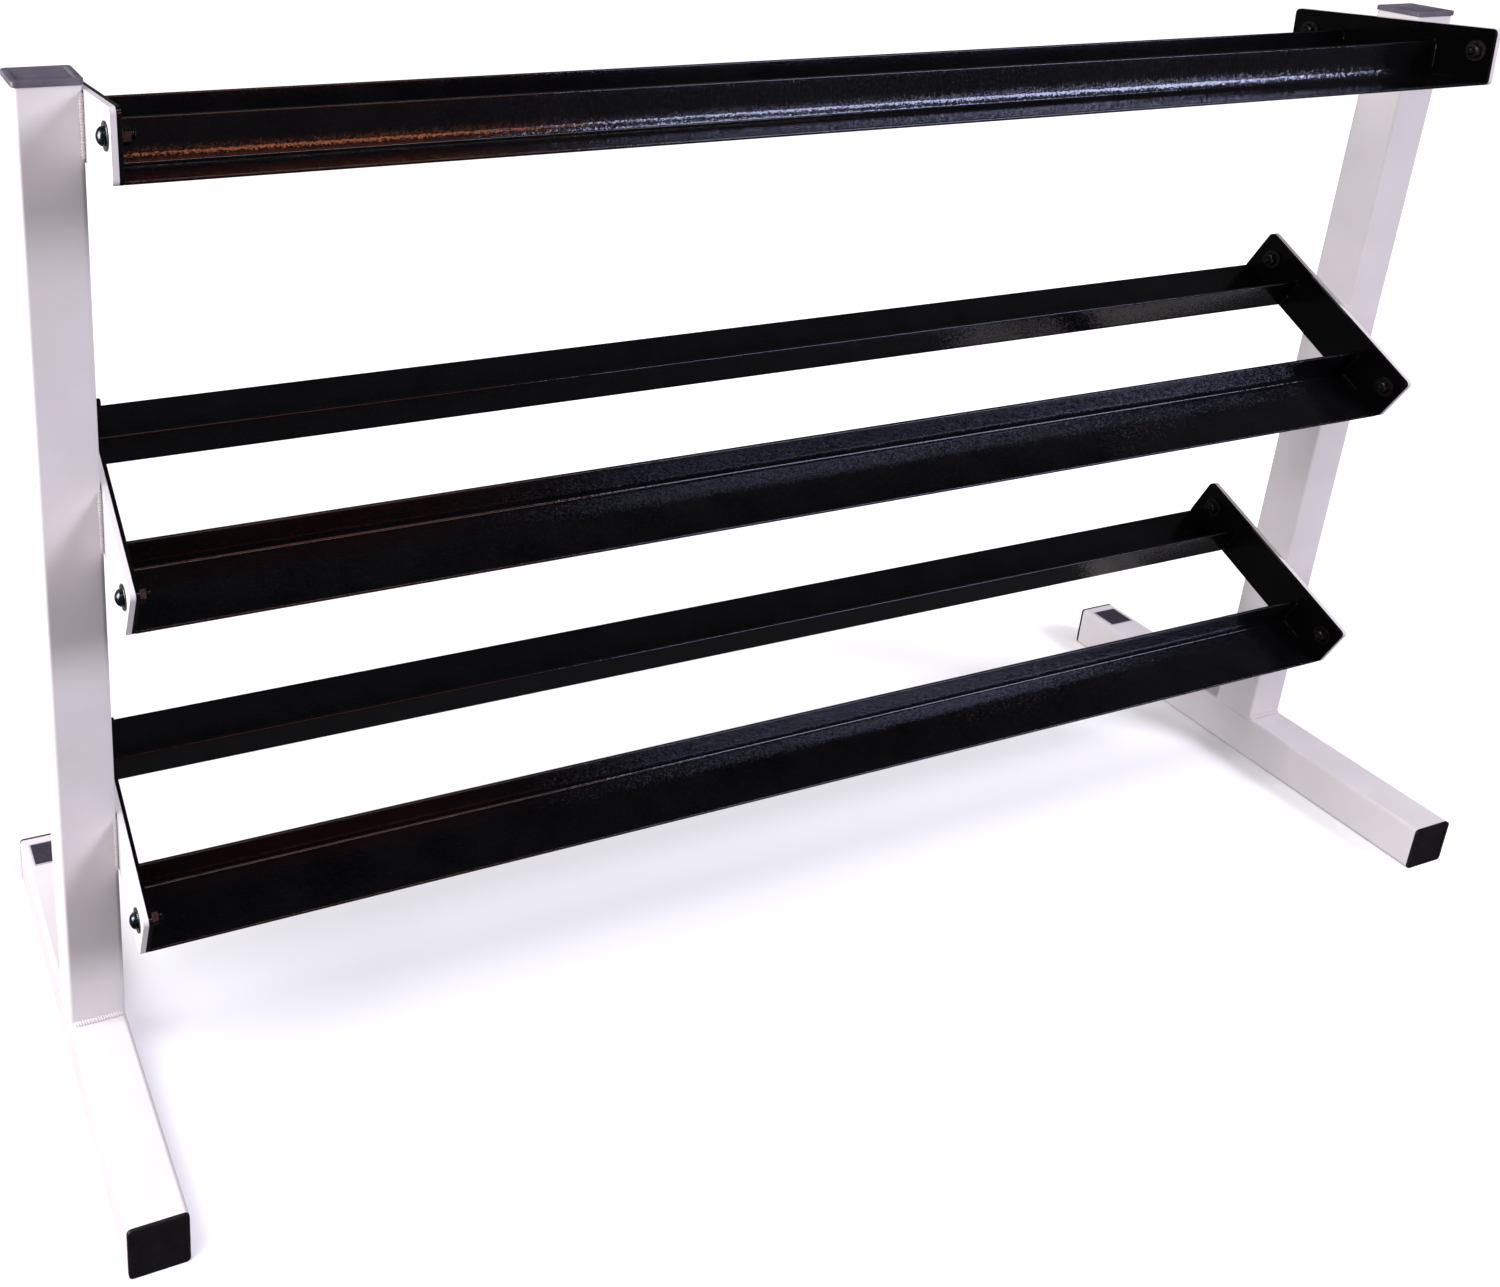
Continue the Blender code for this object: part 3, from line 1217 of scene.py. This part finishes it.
    def _bracket_weld(self, side: Side) -> None:
        """Build the welds down the upright's two inner corners, over the bracket's height.

        Args:
            side: The side of the rack.
        """
        low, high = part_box(f"{side.label}_upright")
        inner = low.x if side is Side.RIGHT else high.x
        place = self._place()
        slope = math.radians(self.tier.value)
        half = self.plate_height / 2 / math.cos(slope) - self.bracket_weld_gap
        bm = bmesh.new()
        for end, y in ((End.FRONT, low.y), (End.REAR, high.y)):
            middle = place.translation.z + (y - place.translation.y) * math.tan(slope)
            x = inner + side.value * self.bracket_weld_inset
            across = y - end.value * self.bracket_weld_inset
            bead = WeldBead(
                Vector((x, across, middle - half)),
                Vector((x, across, middle + half)),
                radius=self.bracket_weld_radius,
                seed=30 + end.value + 3 * side.value,
            )
            join_shapes(bm, bead.shape())
        name = f"{self.tier.label}_{side.label}_bracket_weld"
        add_piece(bm, name, [WHITE_COAT], Slot.WHITE)

    def _rail_levels(self, end: End) -> tuple[float, float, float, float]:
        """Find where a rail's faces are.

        Args:
            end: The front or the rear rail.

        Returns:
            Its outer end, lip face, ledge top and lip top, in the shelf's own axes.
        """
        outer = self.plate_length / 2 - self.inset
        base = -self.plate_height / 2 + self.inset / 2
        face = outer - self.ledge + self.thickness
        return end.value * outer, end.value * face, base + self.thickness, base + self.lip

    def _rail(self, end: End) -> None:
        """Build an angle rail: a ledge under the weights and a lip along its inner side.

        Args:
            end: The front or the rear rail.
        """
        node = f"{self.tier.label}_{end.label}_rail"
        low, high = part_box(node)
        outer, face, ledge_top, lip_top = self._rail_levels(end)
        base = ledge_top - self.thickness
        back = face - end.value * self.thickness
        corners = [
            (outer, base),
            (outer, ledge_top),
            (face, ledge_top),
            (face, lip_top),
            (back, lip_top),
            (back, base),
        ]
        radii = [
            self.toe_radius,
            self.toe_radius,
            self.fold_radius,
            self.toe_radius,
            self.toe_radius,
            self.heel_radius,
        ]
        bm = bmesh.new()
        section = bm.faces.new([bm.verts.new((low.x, y, z)) for y, z in corners])
        grown = bmesh.ops.extrude_face_region(bm, geom=[section])
        far_end = [item for item in grown["geom"] if isinstance(item, bmesh.types.BMVert)]
        bmesh.ops.translate(bm, verts=far_end, vec=(high.x - low.x, 0.0, 0.0))
        bmesh.ops.recalc_face_normals(bm, faces=bm.faces)
        for (y, z), radius in zip(corners, radii):
            steps = self.fold_steps if radius == self.fold_radius else self.toe_steps
            corner = [
                edge
                for edge in edges_along(bm, 0)
                if all(math.hypot(v.co.y - y, v.co.z - z) < MERGE_DISTANCE for v in edge.verts)
            ]
            round_edges(bm, corner, radius, steps)
        self._bow_lip(bm, end)
        name = f"{self.tier.label}_{end.label}_angle_rail"
        add_piece(bm, name, [BLACK_COAT], Slot.BLACK, (node,), self._place())

    def _bow_lip(self, bm: bmesh.types.BMesh, end: End) -> None:
        """Give the lip the hollow face and the thicker root that rolling leaves.

        Args:
            bm: The rail.
            end: The front or the rear rail.
        """
        _, face, ledge_top, lip_top = self._rail_levels(end)
        reach = lip_top - ledge_top - self.toe_radius
        span = self.root_height - self.fold_radius
        above = reach - self.root_height
        heights = [
            self.fold_radius + span * step / self.root_cuts
            for step in range(1, self.root_cuts + 1)
        ]
        heights += [
            self.root_height + above * step / self.lip_cuts for step in range(1, self.lip_cuts)
        ]
        for height in heights:
            bmesh.ops.bisect_plane(
                bm,
                geom=bm.verts[:] + bm.edges[:] + bm.faces[:],
                dist=MERGE_DISTANCE,
                plane_co=(0.0, 0.0, ledge_top + height),
                plane_no=(0.0, 0.0, 1.0),
            )
        for vertex in bm.verts:
            from_face = (vertex.co.y - face) * end.value
            height = vertex.co.z - ledge_top
            in_zone = -MERGE_DISTANCE < from_face < self.fold_zone * self.fold_radius
            if height < -MERGE_DISTANCE or not in_zone:
                continue
            hollow = 1 - min(1.0, max(0.0, height) / reach)
            root = 1 - min(1.0, max(0.0, height) / self.root_height)
            bow = self.lip_bow * hollow**self.bow_power
            thicker = bow + self.root_swell * root**self.root_power
            vertex.co.y += end.value * thicker

    def _rail_weld(self, end: End, side: Side) -> None:
        """Build the welds where one end of a rail meets its end plate.

        Args:
            end: The front or the rear rail.
            side: The side of the rack.
        """
        low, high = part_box(f"{self.tier.label}_{end.label}_rail")
        x = high.x if side is Side.RIGHT else low.x
        outer, face, ledge_top, lip_top = self._rail_levels(end)
        out = end.value
        back = face - out * self.thickness
        start = face + out * self.fold_radius / 2
        level = ledge_top + self.weld_rise
        wall = face + out * self.weld_rise
        crown = lip_top - self.crown_weld_drop
        gap_below, gap_above = self.lip_weld_gaps
        runs = [
            ((start, level), (start + out * self.ledge_weld, level)),
            ((wall, ledge_top + gap_below), (wall, lip_top - gap_above)),
            ((back, lip_top - self.back_weld), (back, lip_top - self.back_weld_gap)),
            ((back, crown), (face + out * self.crown_weld_overrun, crown)),
            ((back, ledge_top), (back, ledge_top + self.heel_weld)),
        ]
        bm = bmesh.new()
        for number, (first, last) in enumerate(runs):
            bead = WeldBead(
                Vector((x, *first)),
                Vector((x, *last)),
                radius=self.weld_radius,
                seed=40 + number + 7 * side.value + 20 * out + round(self.tier.value),
            )
            join_shapes(bm, bead.shape())
        name = f"{self.tier.label}_{end.label}_{side.label}_rail_weld"
        add_piece(bm, name, [BLACK_COAT], Slot.BLACK, (), self._place())


@dataclass(frozen=True)
class SoftLight:
    """A soft box that faces a point, and that shiny pieces mirror unless it is told not to."""

    name: str
    place: tuple[float, float, float]
    aim: tuple[float, float, float]
    width: float
    height: float
    power: float
    colour: str
    mirrored: bool = True

    def build(self) -> bpy.types.Object:
        """Hang the light and turn it to its aim.

        Returns:
            The light.
        """
        lamp = bpy.data.lights.new(self.name, "AREA")
        lamp.shape = "RECTANGLE"
        lamp.size = self.width
        lamp.size_y = self.height
        lamp.energy = self.power
        lamp.color = to_linear(self.colour)[:3]
        box = put_in_scene(self.name, lamp)
        box.visible_glossy = self.mirrored
        box.location = self.place
        shine_along(box, Vector(self.aim) - Vector(self.place))
        return box


@dataclass
class Studio:
    """The pale floor, the soft lights and the camera.

    The dark pieces alone get the strips, which draw the streaks along the rails. The
    left box is kept off the black coat, which would mirror it white from the side.
    """

    lens: float = 39.193
    sensor: float = 36.0
    camera_place: tuple[float, float, float] = (-0.9206, -1.2198, 1.1679)
    camera_right: tuple[float, float, float] = (0.92361, -0.38211, 0.03052)
    camera_forward: tuple[float, float, float] = (0.36726, 0.85925, -0.35610)
    camera_shift: tuple[float, float] = (0.2097, -0.1972)
    camera_clip: tuple[float, float] = (0.05, 100.0)
    floor_low: tuple[float, float] = (-6.0, -4.0)
    floor_high: tuple[float, float] = (10.0, 12.0)
    floor_squares: int = 8
    silk_angle: float = 44.0
    silk_colour: str = "#FFFDFE"
    floor_silk: tuple[float, tuple[float, float, float]] = (2.8, (-0.50, -0.10, 0.85))
    rack_silk: tuple[float, tuple[float, float, float]] = (2.5, (-0.85, -0.10, 0.40))
    sky_colour: str = "#CCC9CE"
    fill_strength: float = 0.75
    mirrored_strength: float = 0.11
    backdrop_colour: str = "#FFFFFF"
    lights: tuple[SoftLight, ...] = (
        SoftLight(
            "key_box",
            (3.75, -4.3, 4.1),
            (-0.3, 0.0, 0.6),
            2.4,
            2.4,
            500.0,
            "#F3F1FF",
            mirrored=False,
        ),
        SoftLight("left_box", (-2.0, 0.1, 1.0), (-0.7, 0.0, 0.5), 0.7, 1.1, 46.0, "#FFFFFF"),
        SoftLight("cool_strip", (2.4, -2.9, 1.38), (0.0, 0.0, 0.87), 2.0, 0.42, 80.0, "#CDD2FF"),
        SoftLight("cool_high", (2.4, -2.9, 2.45), (0.0, 0.0, 0.4), 1.8, 0.3, 48.0, "#CDD2FF"),
        SoftLight("edge_strip", (0.6, -1.6, 3.6), (0.0, 0.0, 0.5), 3.0, 0.2, 40.0, "#FFF4F2"),
        SoftLight("lamp_strip", (0.45, -2.9, 1.42), (-0.5, 0.0, 0.87), 1.1, 0.4, 16.0, "#FF9668"),
        SoftLight("lamp_high", (0.45, -2.9, 2.4), (-0.5, 0.0, 0.5), 1.1, 0.5, 4.0, "#FF7048"),
    )
    dark_only: tuple[str, ...] = (
        "cool_strip",
        "cool_high",
        "edge_strip",
        "lamp_strip",
        "lamp_high",
    )
    off_black: str = "left_box"

    def build(self) -> None:
        """Build the whole studio."""
        rack = list(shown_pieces())
        dark = [p for p in rack if p.get("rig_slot") in (Slot.BLACK.value, Slot.OXIDE.value)]
        not_black = [p for p in rack if p.get("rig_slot") != Slot.BLACK.value]
        floor = self._floor()
        self._sky()
        hung = {light.name: light.build() for light in self.lights}
        self._flag([hung[name] for name in self.dark_only], dark, "mirrors_the_strips")
        self._flag([hung[self.off_black]], not_black, "mirrors_the_left_box")
        self._flag([self._silk("floor_silk", *self.floor_silk)], [floor], "under_the_floor_silk")
        self._flag([self._silk("rack_silk", *self.rack_silk)], rack, "under_the_rack_silk")
        self._camera()

    def _flag(
        self, lamps: list[bpy.types.Object], lit: list[bpy.types.Object], name: str
    ) -> None:
        """Flag lamps off everything but some of the pieces.

        Args:
            lamps: The lamps.
            lit: The pieces that they still light.
            name: The name of the group of lit pieces.
        """
        group = bpy.data.collections.new(name)
        for piece in lit:
            group.objects.link(piece)
        for lamp in lamps:
            lamp.light_linking.receiver_collection = group

    def _floor(self) -> bpy.types.Object:
        """Lay the floor under the feet, kept out of mirrored and bounced light.

        Returns:
            The floor.
        """
        low, high = Vector(self.floor_low), Vector(self.floor_high)
        bm = bmesh.new()
        squares = self.floor_squares
        bmesh.ops.create_grid(bm, x_segments=squares, y_segments=squares, size=0.5)
        size = Matrix.Diagonal((high.x - low.x, high.y - low.y, 1.0, 1.0))
        middle = Matrix.Translation(((low.x + high.x) / 2, (low.y + high.y) / 2, 0.0))
        bmesh.ops.transform(bm, matrix=middle @ size, verts=bm.verts)
        mesh = bpy.data.meshes.new("studio_floor")
        bm.to_mesh(mesh)
        bm.free()
        mesh.materials.append(FLOOR_PAINT.build())
        floor = put_in_scene("studio_floor", mesh)
        floor.visible_glossy = False
        floor.visible_diffuse = False
        floor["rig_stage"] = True
        return floor

    def _sky(self) -> None:
        """Fill the room with an even light behind a pale backdrop, dimmer where it is mirrored."""
        world = bpy.data.worlds.new("studio_room")
        world.use_nodes = True
        tree = world.node_tree
        tree.nodes.clear()
        rays = add_node(tree, "ShaderNodeLightPath").outputs
        mirrored, fill, paper = (
            add_node(
                tree, "ShaderNodeBackground", {"Color": to_linear(colour), "Strength": strength}
            ).outputs["Background"]
            for colour, strength in (
                (self.sky_colour, self.mirrored_strength),
                (self.sky_colour, self.fill_strength),
                (self.backdrop_colour, 1.0),
            )
        )
        lit = add_node(
            tree, "ShaderNodeMixShader", {0: rays["Is Diffuse Ray"], 1: mirrored, 2: fill}
        ).outputs["Shader"]
        room = add_node(tree, "ShaderNodeMixShader", {0: rays["Is Camera Ray"], 1: lit, 2: paper})
        add_node(tree, "ShaderNodeOutputWorld", {"Surface": room.outputs["Shader"]})
        bpy.context.scene.world = world

    def _silk(
        self, name: str, strength: float, place: tuple[float, float, float]
    ) -> bpy.types.Object:
        """Hang a wide silk, which lights evenly from one side and is never mirrored.

        Args:
            name: The silk's name.
            strength: Its light.
            place: The direction that it hangs in.

        Returns:
            The light.
        """
        lamp = bpy.data.lights.new(name, "SUN")
        lamp.energy = strength
        lamp.angle = math.radians(self.silk_angle)
        lamp.color = to_linear(self.silk_colour)[:3]
        silk = put_in_scene(name, lamp)
        silk.visible_glossy = False
        shine_along(silk, -Vector(place))
        return silk

    def _camera(self) -> None:
        """Set the camera up in front, to the left and a little above the rack."""
        data = bpy.data.cameras.new("studio_camera")
        data.sensor_width = self.sensor
        data.sensor_fit = "HORIZONTAL"
        data.lens = self.lens
        data.shift_x, data.shift_y = self.camera_shift
        data.clip_start, data.clip_end = self.camera_clip
        camera = put_in_scene("studio_camera", data)
        forward = Vector(self.camera_forward).normalized()
        right = Vector(self.camera_right)
        right = (right - forward * right.dot(forward)).normalized()
        up = right.cross(forward)
        turn = Matrix((right, up, -forward)).transposed().to_4x4()
        camera.matrix_world = Matrix.Translation(self.camera_place) @ turn
        bpy.context.scene.camera = camera


def main() -> None:
    """Build the rack and its studio."""
    logging.basicConfig(level=logging.INFO, format="%(message)s")
    bpy.context.scene.view_settings.view_transform = "Standard"
    for side in Side:
        SideFrame(side).build()
    for tier in Tier:
        Shelf(tier).build()
    Studio().build()


if __name__ == "__main__":
    main()
